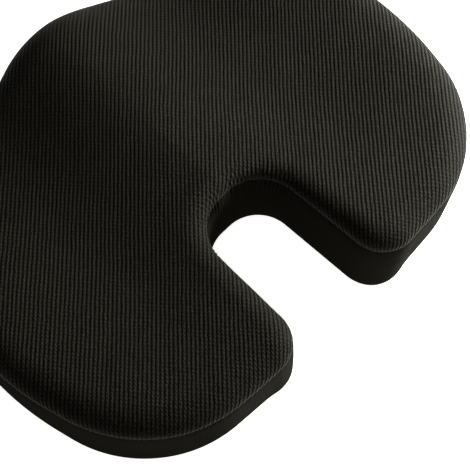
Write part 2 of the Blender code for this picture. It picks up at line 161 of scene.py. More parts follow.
# ---- plan outline
def plan_corners():
    """Corners from the pommel round the +X half to the notch, each with its fillet radius."""
    side = WIDTH / 2
    return [
        (0, FRONT_Y - 0.008, POMMEL_RADIUS),
        (SCOOP_HALF_SPAN, FRONT_Y + SCOOP_DEPTH, SCOOP_RADIUS),
        (side - 0.020, FRONT_Y + 0.033, FRONT_CORNER_RADIUS),
        (side + 0.0015, REAR_Y - 0.145, SIDE_RADIUS),
        (side - 0.0205, REAR_Y - 0.052, REAR_CORNER_RADIUS),
        (side - 0.076, REAR_Y - 0.004, REAR_CORNER_RADIUS),
        (NOTCH_MOUTH / 2, REAR_Y + 0.0035, MOUTH_RADIUS),
        (NOTCH_END / 2, REAR_Y - NOTCH_LENGTH, NOTCH_END_RADIUS),
    ]


def corner_arc(before, corner, after, radius):
    """Centre, radius, first angle and sweep of the fillet at one corner."""
    to_before = (before - corner).normalized()
    to_after = (after - corner).normalized()
    half_angle = to_before.angle(to_after) / 2
    most = 0.49 * min((before - corner).length, (after - corner).length)
    reach = min(radius / math.tan(half_angle), most)
    radius = reach * math.tan(half_angle)
    centre = corner + (to_before + to_after).normalized() * (radius / math.sin(half_angle))
    start = corner + to_before * reach - centre
    end = corner + to_after * reach - centre
    first = math.atan2(start.y, start.x)
    sweep = (math.atan2(end.y, end.x) - first + math.pi) % (2 * math.pi) - math.pi
    return centre, radius, first, sweep


def rounded_loop(corners, arc_step=math.radians(2)):
    """Points of a closed outline given as corners with fillet radii."""
    points = [Vector((x, y)) for x, y, _ in corners]
    loop = []
    for index, (_, _, wanted) in enumerate(corners):
        after = points[(index + 1) % len(points)]
        centre, radius, first, sweep = corner_arc(points[index - 1], points[index], after, wanted)
        steps = max(2, math.ceil(abs(sweep) / arc_step))
        for step in range(steps + 1):
            angle = first + sweep * step / steps
            loop.append(centre + Vector((math.cos(angle), math.sin(angle))) * radius)
    return np.array(loop)


def spaced_loop(loop, step, density=1.0):
    """The closed loop with its points a step apart, closer where the density is over 1.

    Gives the points, the distance along the loop of each, and the loop's length."""
    closed = np.vstack([loop, loop[:1]])
    spans = np.linalg.norm(np.diff(closed, axis=0), axis=1)
    lengths = np.concatenate([[0], np.cumsum(spans)])
    weights = np.concatenate([[0], np.cumsum(spans * density)])
    count = round(weights[-1] / step)
    along = np.interp(np.arange(count) * weights[-1] / count, weights, lengths)
    points = [np.interp(along, lengths, closed[:, axis]) for axis in (0, 1)]
    return np.stack(points, axis=1), along, lengths[-1]


def bend_of(loop, normals):
    """How fast a loop turns at each point, in radians per metre: negative in its inner corners."""
    tangent = np.roll(loop, -1, axis=0) - np.roll(loop, 1, axis=0)
    turn = np.roll(normals, -1, axis=0) - np.roll(normals, 1, axis=0)
    return blurred((turn * tangent).sum(axis=1) / (tangent * tangent).sum(axis=1), 8)


def inner_corner(bend):
    """0 on straight and outward runs, 1 in the notch's inner corners."""
    return smooth_step(-bend, 2, 26)


def outward_normals(loop):
    """Outward normals of a counterclockwise loop."""
    tangent = np.roll(loop, -1, axis=0) - np.roll(loop, 1, axis=0)
    normal = np.stack([tangent[:, 1], -tangent[:, 0]], axis=1)
    return normal / np.linalg.norm(normal, axis=1)[:, None]


def blurred(values, reach):
    """A loop of values, smoothed over a number of neighbours on each side."""
    weights = np.hanning(2 * reach + 3)[1:-1]
    spread = sum(w * np.roll(values, k - reach, axis=0) for k, w in enumerate(weights))
    return spread / weights.sum()


class Outline:
    """The plan outline at even steps, with what varies along it."""

    def __init__(self):
        half = plan_corners()
        corners = half + [(-x, y, radius) for x, y, radius in reversed(half[1:])]
        loop = rounded_loop(corners)
        low, high = loop.min(axis=0), loop.max(axis=0)
        loop[:, 0] *= WIDTH / (high[0] - low[0])
        loop[:, 1] = (loop[:, 1] - (high[1] + low[1]) / 2) * DEPTH / (high[1] - low[1])
        points, _, _ = spaced_loop(loop, OUTLINE_STEP)
        gathered = inner_corner(bend_of(points, outward_normals(points)))
        density = 1 + GATHER_DETAIL * gathered
        self.points, self.along, self.length = spaced_loop(points, OUTLINE_STEP, density)
        self.normals = outward_normals(self.points)
        self.count = len(self.points)
        x, y = self.points.T
        rear = smooth_step(y, 0, 0.02)
        self.notch = rear * (1 - smooth_step(abs(x), 0.045, 0.085))
        self.concave = inner_corner(bend_of(self.points, self.normals))
        self.reach = SHOULDER_REACH + (NOTCH_SHOULDER_REACH - SHOULDER_REACH) * self.notch
        self.lean = WALL_UNDERCUT - (WALL_UNDERCUT + NOTCH_FLARE) * self.notch

    def ring(self, inset, height):
        """One loop of points, inset from the outline, at given heights."""
        flat = self.points - self.normals * np.broadcast_to(inset, self.count)[:, None]
        return np.column_stack([flat, np.broadcast_to(height, self.count)])

    def wall_ring(self, inset, height):
        """A ring that follows the wall's lean at its height."""
        share = np.clip(1 - height / SEAM_HEIGHT, 0, 1)
        return self.ring(inset + self.lean * share, height)


# ---- nested surfaces
def frontness(y):
    return 1 - smooth_step(y, FRONT_Y + 0.020, FRONT_Y + 0.190)


def bump(x, y, centre_x, centre_y, reach_x, reach_y):
    """A soft hill of height 1, the same on both sides of the middle."""
    across = (abs(x) - centre_x) / reach_x
    along = (y - centre_y) / reach_y
    return np.exp(-across * across - along * along)


def seat_height(x, y):
    """Height of the outside of the cover where the seat isn't shoulder."""
    height = REAR_HEIGHT - FRONT_DROP * frontness(y)
    height = height - HOLLOW_DEPTH * bump(x, y, 0.240 * WIDTH, 0.02, 0.075, 0.085)
    height = height - THIGH_SCOOP_DEPTH * bump(x, y, 0.230 * WIDTH, FRONT_Y + 0.02, 0.055, 0.10)
    return height + POMMEL_RISE * bump(x, y, 0, FRONT_Y + 0.03, 0.056, 0.09)


def seam_height(y):
    return SEAM_HEIGHT - SEAM_FRONT_DROP * frontness(y)


def shoulder_rings(outline, depth, start, count):
    """From just above the seam, start metres over it, up over the shoulder to the seat's edge."""
    rings = []
    for sine, cosine in quarter_turn(count):
        flat = outline.ring(depth + (outline.reach - depth) * (1 - cosine), 0)
        low = seam_height(flat[:, 1]) + start
        top = seat_height(flat[:, 0], flat[:, 1]) - depth
        flat[:, 2] = low + (top - low) * sine
        rings.append(flat)
    return rings


def foot_rings(outline, depth, count=8):
    """From the flat underside round the lower edge to the upright wall."""
    radius = FOOT_RADIUS - depth
    return [
        outline.wall_ring(FOOT_RADIUS - radius * sine, FOOT_RADIUS - radius * cosine)
        for sine, cosine in quarter_turn(count)
    ]


def wall_rings(outline, depth, finish):
    """From the top of the foot up to finish metres under the seam, both ends left out."""
    top = seam_height(outline.points[:, 1]) - finish
    count = round(SEAM_HEIGHT / WALL_STEP)
    levels = [FOOT_RADIUS + (top - FOOT_RADIUS) * step / count for step in range(1, count)]
    return [outline.wall_ring(depth, level) for level in levels]


def fold_rings(outline, side, count=5):
    """The cloth's turn into the seam, from the outside inward: side 1 above the seam, -1 below it."""
    middle = seam_height(outline.points[:, 1])
    rings = []
    for sine, cosine in quarter_turn(count):
        height = middle + side * (SEAM_GAP + SEAM_FOLD * (1 - sine))
        rings.append(outline.ring(SEAM_FOLD * (1 - cosine), height))
    rings.append(outline.ring(FLAP_DEPTH, middle + side * SEAM_GAP))
    return rings


def distances_between(rings):
    """Distance along the profile from the first ring, for each ring and station."""
    stack = np.array(rings)
    steps = np.linalg.norm(np.diff(stack, axis=0), axis=2)
    return np.concatenate([np.zeros((1, stack.shape[1])), np.cumsum(steps, axis=0)])


# ---- soft movement of cloth
def wandering(points, size, amount, seed):
    """A smooth random shift of each point, at most about amount."""
    offset = Vector((seed * 7.3, seed * 3.1, seed * 5.7))
    shifts = [noise.noise_vector(Vector(point) / size + offset) for point in points]
    return np.array(shifts) * amount


def soften(points):
    """The slight unevenness that every layer of the cushion shares."""
    flat = np.asarray(points).reshape(-1, 3)
    shift = wandering(flat, 0.075, 0.0011, 1) + wandering(flat, 0.028, 0.0003, 2)
    lift = smooth_step(flat[:, 2], 0.004, 0.03)
    return (flat + shift * lift[:, None]).reshape(np.shape(points))


def grid_normals(rows):
    """Normals of a closed band of rings, pointing out for rings that run upward."""
    around = np.roll(rows, -1, axis=1) - np.roll(rows, 1, axis=1)
    upward = np.gradient(rows, axis=0)
    normal = np.cross(around, upward)
    return normal / np.maximum(np.linalg.norm(normal, axis=2), 1e-12)[:, :, None]


def pucker_wave(outline):
    """Gathers along the seam: round crests with narrow valleys, closer in the inner corners."""
    pitch = GATHER_PITCH + (CORNER_GATHER_PITCH - GATHER_PITCH) * outline.concave
    jitter = np.array([noise.noise(Vector((s * 60, 4.0, 0))) for s in outline.along])
    fade = 1 - smooth_step(outline.along, outline.length - 0.02, outline.length)
    steps = np.diff(np.append(outline.along, outline.length))
    phase = np.cumsum(steps / pitch * (1 + 0.25 * jitter * fade))
    phase *= round(phase[-1]) / phase[-1]
    swing = np.array([noise.noise(Vector((s * 33, 9.0, 0))) for s in outline.along]) * fade
    return (np.abs(np.sin(math.pi * phase)) - 0.6) * (1 + 0.9 * swing)


def pucker(rows, outline, from_seam, gathers):
    """Pushes a band of rings in and out near the seam, and not at all at the foot."""
    (depth, reach), (corner_depth, corner_reach) = gathers
    strength = depth + (corner_depth - depth) * outline.concave
    spread = reach + (corner_reach - reach) * outline.concave
    fade = np.exp(-((from_seam / spread) ** 1.6))
    tuck = SEAM_TUCK * (1 - np.exp(-((from_seam / SEAM_TUCK_REACH) ** 2)))
    push = (pucker_wave(outline) * strength)[None, :] * fade + tuck
    push = push * smooth_step(rows[:, :, 2], 0.002, 0.012)
    return rows + grid_normals(rows) * push[:, :, None]


# ---- building meshes
def ring_faces(rings, count, first=0, flip=False):
    """Quads between rings of count points each."""
    faces = []
    for ring in range(rings - 1):
        low, high = first + ring * count, first + (ring + 1) * count
        for k in range(count):
            after = (k + 1) % count
            face = (low + k, low + after, high + after, high + k)
            faces.append(face[::-1] if flip else face)
    return faces


class Skin:
    """Points, faces and cloth coordinates of one piece, gathered part by part."""

    def __init__(self):
        self.points = []
        self.faces = []
        self.coords = []
        self.finishes = []

    def add_points(self, points):
        first = len(self.points)
        self.points.extend(map(tuple, points))
        return first

    def add_face(self, face, coords, finish=0):
        self.faces.append(face)
        self.coords.extend(coords)
        self.finishes.append(finish)

    def add_band(self, rows, coords):
        """Quads between closed rings. Coords have one more column than the rings."""
        count = rows.shape[1]
        first = self.add_points(rows.reshape(-1, 3))
        for number, face in enumerate(ring_faces(len(rows), count, first)):
            row, column = divmod(number, count)
            below, above = coords[row], coords[row + 1]
            self.add_face(face, (below[column], below[column + 1], above[column + 1], above[column]))
        return first

    def add_field(self, edge, first, seeds, heights, coords, flip=False):
        """Fills a loop whose points begin at first. Heights and coords are functions of x and y."""
        around = [(index, (index + 1) % len(edge)) for index in range(len(edge))]
        plan = [Vector(point) for point in edge] + [Vector(point) for point in seeds]
        _, _, faces, _, _, _ = delaunay_2d_cdt(plan, around, [], 1, 1e-7)
        placed = np.column_stack([seeds, heights(seeds[:, 0], seeds[:, 1])])
        second = self.add_points(placed)
        corner_coords = np.vstack([coords(edge), coords(seeds)])
        for face in faces:
            face = face[::-1] if flip else face
            numbers = [first + i if i < len(edge) else second + i - len(edge) for i in face]
            self.add_face(numbers, [corner_coords[i] for i in face])

    def add_part(self, points, faces, finish=0):
        first = self.add_points(points)
        for face in faces:
            self.add_face([first + index for index in face], [(0.0, 0.0)] * len(face), finish)

    def build(self, name, *materials):
        mesh = bpy.data.meshes.new(name)
        mesh.from_pydata(self.points, [], self.faces)
        layer = mesh.uv_layers.new(name="cloth")
        layer.data.foreach_set("uv", np.asarray(self.coords, dtype=np.float32).ravel())
        for finish in materials:
            mesh.materials.append(finish)
        mesh.polygons.foreach_set("material_index", self.finishes)
        mesh.shade_smooth()
        mesh.update()
        item = bpy.data.objects.new(name, mesh)
        bpy.context.scene.collection.objects.link(item)
        return item


def thicken(item, thickness):
    """Gives a sheet its thickness, on the inner side."""
    step = item.modifiers.new("thickness", "SOLIDIFY")
    step.thickness = thickness
    step.offset = -1
    return item


def settle(item, body, slot, *nodes):
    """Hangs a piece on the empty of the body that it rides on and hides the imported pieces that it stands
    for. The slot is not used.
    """
    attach(item, body)
    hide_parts(*nodes)


def settle_padding(skin, name, finish, thickness, slot, node):
    """A cloth piece of the cushion, with its thickness on the inner side."""
    item = thicken(skin.build(name, finish), thickness)
    settle(item, "cushion", slot, node)


def inside_loop(points, loop):
    """Whether each plan point lies inside a loop."""
    crossings = np.zeros(len(points), int)
    for start, end in zip(loop, np.roll(loop, -1, axis=0)):
        spans = (start[1] > points[:, 1]) != (end[1] > points[:, 1])
        if spans.any():
            share = (points[spans, 1] - start[1]) / (end[1] - start[1])
            crossings[spans] += points[spans, 0] < start[0] + share * (end[0] - start[0])
    return crossings % 2 == 1


def seeds_inside(edge, step, margin):
    """Points of an even triangular grid inside a loop and clear of its edge."""
    low, high = edge.min(axis=0), edge.max(axis=0)
    rise = step * math.sqrt(3) / 2
    seeds = []
    for row in range(math.floor(low[1] / rise), math.ceil(high[1] / rise) + 1):
        shift = (row % 2) * step / 2
        for column in range(math.floor(low[0] / step), math.ceil(high[0] / step) + 1):
            seeds.append((column * step + shift, row * rise))
    seeds = np.array(seeds)
    nearest = np.full(len(seeds), np.inf)
    for point in edge:
        nearest = np.minimum(nearest, ((seeds - point) ** 2).sum(axis=1))
    return seeds[inside_loop(seeds, edge) & (nearest > margin * margin)]


def rib_coords(points):
    """Plan points as cloth coordinates: across the ribs, and along them."""
    across = points[:, 0] * RIB_DIRECTION.y - points[:, 1] * RIB_DIRECTION.x
    along = points[:, 0] * RIB_DIRECTION.x + points[:, 1] * RIB_DIRECTION.y
    return np.column_stack([across, along])


def wrap_coords(rows, outline, levels):
    """Cloth coordinates of a band: distance round the outline, and level up the wall."""
    round_trip = np.append(outline.along, outline.length)
    coords = np.zeros((len(rows), len(round_trip), 2))
    coords[:, :, 0] = round_trip
    coords[:, :, 1] = np.column_stack([levels, levels[:, :1]])
    return coords


# ---- cover
def make_cover_top(outline, finish):
    fold = fold_rings(outline, 1)[::-1]
    rise = shoulder_rings(outline, 0, SEAM_GAP + SEAM_FOLD, SHOULDER_RINGS)
    rows = np.array(fold[:-1] + rise)
    lengths = distances_between(rows)
    seam_row = len(fold) - 1
    from_seam = np.abs(lengths - lengths[seam_row])
    from_edge = lengths[-1] - lengths
    edge = rows[-1][:, :2]
    flat = edge[None] + outline.normals[None] * from_edge[:, :, None]
    coords = np.array([rib_coords(points) for points in flat])
    coords = np.concatenate([coords, coords[:, :1]], axis=1)
    rows = pucker(rows, outline, from_seam, TOP_GATHERS)
    skin = Skin()
    first = skin.add_band(rows, coords)
    seeds = seeds_inside(edge, SEAT_STEP, SEAT_STEP * 0.6)
    tuck = rows[-1][:, 2].mean() - seat_height(edge[:, 0], edge[:, 1]).mean()
    last = first + (len(rows) - 1) * outline.count
    skin.add_field(edge, last, seeds, lambda x, y: seat_height(x, y) + tuck, rib_coords)
    skin.points = soften(skin.points)
    settle_padding(skin, "cover_top", finish, CLOTH_THICKNESS, "mesh_cloth", "top_panel")


def make_cover_band(outline, finish):
    foot = [outline.wall_ring(FOOT_RADIUS + 0.0004, SEAM_FOLD)] + foot_rings(outline, 0)
    wall = wall_rings(outline, 0, SEAM_GAP + SEAM_FOLD)
    fold = fold_rings(outline, -1)
    rows = np.array(foot + wall + fold)
    lengths = distances_between(rows)
    seam_row = len(foot) + len(wall)
    levels = lengths - lengths[seam_row]
    coords = wrap_coords(rows, outline, levels)
    rows = pucker(rows, outline, np.abs(levels), BAND_GATHERS)
    skin = Skin()
    skin.add_band(rows, coords)
    skin.points = soften(skin.points)
    settle_padding(skin, "cover_side_band", finish, CLOTH_THICKNESS, "band_cloth", "side_band")


PANEL_Z = 0.0006
HEM_RADIUS = 0.0010
HEM_TOP = 0.0067
DOT_STEP = 0.008
DOT_RADIUS = 0.0015
DOT_MARGIN = 0.006
PANEL_STEP = 0.007
EDGE_STEP = 0.0025


def line_points(start, end, step):
    """Points from start toward end, the end left out."""
    start, end = np.array(start), np.array(end)
    count = max(1, round(np.linalg.norm(end - start) / step))
    return [start + (end - start) * k / count for k in range(count)]


def panel_loop(outline, side):
    """The edge of one half of the underside, and how far its hem stands up at each point."""
    ring = outline.wall_ring(FOOT_RADIUS + 0.0015, 0.0)[::2, :2]
    line = ZIP_Y + side * SEAM_GAP
    kept = (ring[:, 1] - line) * side > 0.001
    start = next(i for i in range(len(kept)) if kept[i] and not kept[i - 1])
    run = [ring[(start + k) % len(ring)] for k in range(int(kept.sum()))]
    far = ZIP_Y + side * SLOT_HALF_WIDTH
    here = -side * SLOT_HALF_LENGTH
    slot = [(here, line), (here, far), (-here, far), (-here, line)]
    corner_start = (run[-1][0], line)
    corner_end = (run[0][0], line)
    path = [corner_start, *slot, corner_end]
    points = list(run)
    hems = [2 * HEM_RADIUS] * len(run)
    for number, (a, b) in enumerate(zip(path, path[1:])):
        piece = line_points(a, b, EDGE_STEP)
        points += piece
        hems += [HEM_TOP if 1 <= number <= 3 else 2 * HEM_RADIUS] * len(piece)
    return np.array(points), np.array(hems)


def make_cover_base(name, node, outline, side, cloth, grip):
    """Half of the underside, with its edge turned up and rows of grip dots."""
    edge, hems = panel_loop(outline, side)
    smooth = np.stack([blurred(edge[:, 0], 1), blurred(edge[:, 1], 1)], axis=1)
    normals = outward_normals(smooth)
    hems = blurred(hems, 1)
    rings = []
    steps = 4
    for sine, cosine in quarter_turn(steps):
        height = np.full(len(edge), PANEL_Z + HEM_RADIUS * (1 - cosine))
        rings.append(np.column_stack([smooth - normals * (HEM_RADIUS * (1 - sine)), height]))
    rings.append(np.column_stack([smooth, np.maximum(hems - PANEL_Z, 2 * HEM_RADIUS)]))
    rings.append(np.column_stack([smooth + normals * 0.0001, np.maximum(hems, 2.4 * HEM_RADIUS)]))
    rows = np.array(rings)
    flat = np.array([row[:, :2] + normals * max(0, k - steps) * HEM_RADIUS for k, row in enumerate(rows)])
    coords = np.concatenate([flat, flat[:, :1]], axis=1)
    skin = Skin()
    first = skin.add_band(rows[::-1], coords[::-1])
    inner = rows[0][:, :2]
    last = first + (len(rows) - 1) * len(edge)
    seeds = seeds_inside(inner, PANEL_STEP, INNER_MARGIN)

    def level(x, y):
        return PANEL_Z + 0.00012 * np.sin(x * 170) * np.sin(y * 150)

    skin.add_field(inner, last, seeds, level, np.asarray, flip=True)
    settle_padding(skin, name, cloth, PANEL_Z, "base_cloth", node)
    dots = Skin()
    for x, y in seeds_inside(inner, DOT_STEP, DOT_MARGIN):
        dots.add_part(*grip_dot(x, y))
    spots = dots.build(name + "_grip_dots", grip)
    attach(spots, "cushion")


def grip_dot(x, y, sides=10):
    """A low dome that hangs from the underside and reaches the floor."""
    points = []
    for radius, height in ((1.0, 1.4), (1.0, 0.75), (0.72, 0.18), (0.34, 0.0)):
        for k in range(sides):
            angle = TURN * k / sides
            reach = radius * DOT_RADIUS
            points.append((x + reach * math.cos(angle), y + reach * math.sin(angle), height * PANEL_Z))
    ends = [tuple(range(sides)), tuple(range(4 * sides - 1, 3 * sides - 1, -1))]
    return points, ring_faces(4, sides, flip=True) + ends


# ---- threads
STITCH_PITCH = 0.0032
STITCH_RADIUS = 0.00024
STITCH_SHARE = 0.78


def tube(path, radius, sides):
    """Points and faces of a round tube along a path."""
    path = np.asarray(path, float)
    tangents = np.gradient(path, axis=0)
    tangents /= np.linalg.norm(tangents, axis=1)[:, None]
    start = np.cross(tangents[0], (0, 0, 1.0))
    if np.linalg.norm(start) < 0.1:
        start = np.cross(tangents[0], (0, 1.0, 0))
    side = start / np.linalg.norm(start)
    points = []
    for place, tangent in zip(path, tangents):
        side = side - tangent * side.dot(tangent)
        side /= np.linalg.norm(side)
        up = np.cross(tangent, side)
        for k in range(sides):
            angle = TURN * k / sides
            points.append(place + radius * (side * math.cos(angle) + up * math.sin(angle)))
    last = (len(path) - 1) * sides
    ends = [tuple(reversed(range(sides))), tuple(range(last, last + sides))]
    return points, ring_faces(len(path), sides) + ends


def top_stitch(outline, start, _):
    """Path of one short thread across the groove between the top and the band."""
    station = round(start) % outline.count
    place, normal = outline.points[station], outline.normals[station]
    tangent = np.array([-normal[1], normal[0]]) * 0.0003
    path = []
    for step in range(5):
        share = step / 2 - 1
        x, y = place - normal * (0.0007 + 0.0008 * share * share) + tangent * share
        path.append((x, y, seam_height(place[1]) + share * 0.0009))
    return soften(path)


def bottom_stitch(outline, start, span):
    """Path of one stitch along the foot, just inside the band's lower edge."""
    path = []
    for step in range(6):
        station = round(start + step / 5 * STITCH_SHARE * span) % outline.count
        share = step / 2.5 - 1
        inset = FOOT_RADIUS + 0.0005 + outline.lean[station]
        x, y = outline.points[station] - outline.normals[station] * inset
        path.append((x, y, 0.0007 + 0.0007 * share * share))
    return path


def make_stitches(name, node, outline, stitch, finish):
    """A row of stitches round the outline, a pitch apart."""
    skin = Skin()
    count = round(outline.length / STITCH_PITCH)
    span = outline.count / count
    for number in range(count):
        skin.add_part(*tube(stitch(outline, number * span, span), STITCH_RADIUS, 6))
    settle(skin.build(name, finish), "cushion", "thread", node)


# ---- liner and foam
def channel_rise(x, y, reach=0.0):
    """How much of its full height the channel over the zip has: 1 inside, 0 clear of it."""
    past_x = np.maximum(abs(x) - (TAPE_HIGH.x + CHANNEL_CLEARANCE + reach), 0)
    past_y = np.maximum(abs(y - ZIP_Y) - (TAPE_HIGH.y - ZIP_Y + CHANNEL_CLEARANCE + reach), 0)
    return 1 - smooth_step(np.hypot(past_x, past_y), 0, CHANNEL_SLOPE)


def underside(x, y, depth):
    """Height of an inner layer's underside, lifted over the zip."""
    lift = SLIDER_HIGH.z + CHANNEL_HEADROOM - LINER_DEPTH
    return depth + lift * channel_rise(x, y, depth - LINER_DEPTH)


def plan_coords(rows, outline):
    """Cloth coordinates of a dome, as if it were laid flat round its seat edge."""
    lengths = distances_between(rows)
    flat = rows[-1][None, :, :2] + outline.normals[None] * (lengths[-1] - lengths)[:, :, None]
    return np.concatenate([flat, flat[:, :1]], axis=1)


def start_dome(outline, depth):
    """Walls, shoulder and seat of an inner layer: the skin, its rings and its first point."""
    walls = wall_rings(outline, depth, 0)[::2]
    rows = np.array(foot_rings(outline, depth, 4) + walls + shoulder_rings(outline, depth, 0, 8))
    skin = Skin()
    first = skin.add_band(rows, plan_coords(rows, outline))
    edge = rows[-1][:, :2]
    last = first + (len(rows) - 1) * outline.count
    seeds = seeds_inside(edge, INNER_STEP, INNER_MARGIN)
    skin.add_field(edge, last, seeds, lambda x, y: seat_height(x, y) - depth, np.asarray)
    return skin, rows, first


def make_liner_upper(outline, finish):
    skin, _, _ = start_dome(outline, LINER_DEPTH)
    skin.points = soften(skin.points)
    settle_padding(skin, "liner_upper", finish, LINER_THICKNESS, "liner", "inner_liner_upper")


def make_liner_base(outline, finish):
    edge = outline.wall_ring(FOOT_RADIUS + 0.0003, 0.0)[::2, :2]
    seeds = np.vstack([seeds_inside(edge, INNER_STEP, INNER_MARGIN), channel_seeds()])
    skin = Skin()
    first = skin.add_points(np.column_stack([edge, np.full(len(edge), LINER_DEPTH)]))
    skin.add_field(edge, first, seeds, lambda x, y: underside(x, y, LINER_DEPTH), np.asarray, flip=True)
    settle_padding(skin, "liner_base", finish, LINER_THICKNESS, "liner", "inner_liner_base")


def channel_seeds():
    """Rows of points along the channel's two long walls, where the liner turns up."""
    half = TAPE_HIGH.x + CHANNEL_CLEARANCE
    seeds = []
    for side in (-1, 1):
        wall = ZIP_Y + side * (TAPE_HIGH.y - ZIP_Y + CHANNEL_CLEARANCE)
        for step in range(4):
            for x in np.arange(-half, half, 0.0031):
                seeds.append((x + 0.0007 * step, wall + side * (0.0011 * step + 0.00013)))
    return np.array(seeds)


def make_foam(outline, finish):
    skin, rows, first = start_dome(outline, FOAM_DEPTH)
    low = rows[0][:, :2]
    seeds = np.vstack([seeds_inside(low, INNER_STEP, INNER_MARGIN), channel_seeds() + (0.0004, 0)])
    skin.add_field(low, first, seeds, lambda x, y: underside(x, y, FOAM_DEPTH), np.asarray, flip=True)
    skin.points = soften(skin.points)
    foam = skin.build("memory_foam_core", finish)
    settle(foam, "cushion", "foam", "foam_core")


# ---- zip
COIL_PITCH = 0.00125
FILAMENT_RADIUS = 0.00031
SEWING_RADIUS = 0.00011
TAPE_STATIONS = 120
TURN_STEPS = 14


def make_zip_tape(name, node, finish):
    """A woven tape with rounded edges, coordinates along and across it."""
    low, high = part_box(node)
    edge = (high.z - low.z) / 2
    middle = (low.z + high.z) / 2
    profile = []
    for side, rim in ((-1, low.y + edge), (1, high.y - edge)):
        for step in range(9):
            angle = math.pi * step / 8
            profile.append((rim + side * edge * math.sin(angle), middle + side * edge * math.cos(angle)))
    profile = profile[::-1]
    count = len(profile)
    stations = np.linspace(low.x, high.x, TAPE_STATIONS)
    rows = np.array([[(x, y, z) for y, z in profile] for x in stations])
    coords = np.array([[(x, profile[k % count][0]) for k in range(count + 1)] for x in stations])
    skin = Skin()
    first = skin.add_band(rows, coords)
    last = first + (TAPE_STATIONS - 1) * count
    for end in (range(first + count - 1, first - 1, -1), range(last, last + count)):
        skin.add_face(list(end), [(0.0, 0.0)] * count)
    settle(skin.build(name, finish), "cushion", "zip_tape", node)


def make_zip_coil(name, node, side, finish, sewing):
    """One nylon coil as a flattened helix, sewn to its tape with two rows of thread."""
    low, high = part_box(node)
    middle_y, middle_z = (low.y + high.y) / 2, (low.z + high.z) / 2
    reach_y = (high.y - low.y) / 2 - FILAMENT_RADIUS
    reach_z = (high.z - low.z) / 2 - FILAMENT_RADIUS
    turns = math.floor((high.x - low.x - 2 * FILAMENT_RADIUS) / COIL_PITCH)
    start = (low.x + high.x) / 2 - turns * COIL_PITCH / 2
    path = []
    for step in range(turns * TURN_STEPS + 1):
        angle = TURN * step / TURN_STEPS
        x = start + COIL_PITCH * step / TURN_STEPS
        path.append((x, middle_y + reach_y * math.cos(angle), middle_z + side * reach_z * math.sin(angle)))
    skin = Skin()
    skin.add_part(*tube(path, FILAMENT_RADIUS, 6))
    for offset in (-0.15, 0.45):
        row = middle_y + side * offset * reach_y * 1.6
        thread = []
        for step in range(turns * 4 + 1):
            lift = 0.5 - 0.5 * math.cos(TURN * step / 4)
            thread.append((start + COIL_PITCH * step / 4, row, low.z - 0.00002 + lift * 0.0006))
        skin.add_part(*tube(thread, SEWING_RADIUS, 5), finish=1)
    settle(skin.build(name, finish, sewing), "cushion", "zip_coil", node)


def distinct(loop):
    """A loop without the points that repeat the one before."""
    return loop[np.linalg.norm(loop - np.roll(loop, 1, axis=0), axis=1) > 1e-6]


def plate_part(corners, low, high, bevel, hole=None):
    """A flat plate with rounded corners and bevelled rims, with a hole if one is given."""
    turns = quarter_turn(3)
    loops, sizes = [], []
    for outline, side in ((corners, 1), (hole, -1)):
        if outline is None:
            continue
        loop = distinct(rounded_loop(outline, math.radians(15)))
        normals = outward_normals(loop)
        rings = []
        for height, way in ((low, 1), (high, -1)):
            for sine, cosine in turns[::way]:
                level = np.full(len(loop), height + way * bevel * (1 - cosine))
                rings.append(np.column_stack([loop - normals * (side * bevel * (1 - sine)), level]))
        loops.append(np.array(rings))
        sizes.append(len(loop))
    points, faces, starts = [], [], []
    for number, rings in enumerate(loops):
        start = len(points)
        starts.append(start)
        points.extend(rings.reshape(-1, 3))
        faces += ring_faces(len(rings), sizes[number], start, flip=number > 0)
    for row, flip in ((0, True), (-1, False)):
        plan, links, numbers = [], [], []
        for number, rings in enumerate(loops):
            base = len(plan)
            count = sizes[number]
            plan += [Vector(point) for point in rings[row][:, :2]]
            links += [(base + k, base + (k + 1) % count) for k in range(count)]
            offset = starts[number] + (0 if row == 0 else (len(rings) - 1) * count)
            numbers += [offset + k for k in range(count)]
        _, _, cells, _, _, _ = delaunay_2d_cdt(plan, links, [], 1, 1e-9)
        for cell in cells:
            centre = sum((plan[i] for i in cell), Vector((0, 0))) / len(cell)
            if len(loops) == 2 and inside_loop(np.array([centre]), loops[1][row][:, :2])[0]:
                continue
            face = tuple(numbers[i] for i in cell)
            faces.append(face[::-1] if flip else face)
    return points, faces


def rectangle(low, high, radius):
    """Corners of a rectangle with one fillet radius."""
    (x0, y0), (x1, y1) = low[:2], high[:2]
    return [(x0, y0, radius), (x1, y0, radius), (x1, y1, radius), (x0, y1, radius)]


def make_zip_stop(name, node, finish):
    low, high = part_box(node)
    skin = Skin()
    skin.add_part(*plate_part(rectangle(low, high, 0.0003), low.z, high.z, 0.0002))
    settle(skin.build(name, finish), "cushion", "zip_metal", node)


SLIDER_PLATE = 0.0008
SLIDER_TAIL_WIDTH = 0.0074
PLATE_BEVEL = 0.00028
SHOULDER_SHARE = 0.45
BRIDGE_SHARE = 0.38
BRIDGE_HALF_WIDTH = 0.0008
ROD_RADIUS = 0.0005
EYE_CLEARANCE = 0.0006
RIDGE_PITCH = 0.0022
RIDGE_MARGIN = 0.0014
RIDGE_RISE = 0.0002
STRAP_EDGE_RADIUS = 0.00025


def both_sides(half):
    """Corners of a loop from the half of it on one side of the zip's middle."""
    near = [(x, ZIP_Y - reach, radius) for x, reach, radius in half]
    return near + [(x, ZIP_Y + reach, radius) for x, reach, radius in reversed(half)]


def slider_outline():
    """Broad shoulders where the coils part, a narrower tail where they have met."""
    x0, x1 = SLIDER_LOW.x, SLIDER_HIGH.x
    wide = (SLIDER_HIGH.y - SLIDER_LOW.y) / 2
    shoulder = x0 + (x1 - x0) * SHOULDER_SHARE
    tail = (x1, SLIDER_TAIL_WIDTH / 2, 0.0014)
    return both_sides([(x0, wide * 0.55, 0.0015), (x0 + 0.002, wide, 0.0015), (shoulder, wide, 0.004), tail])


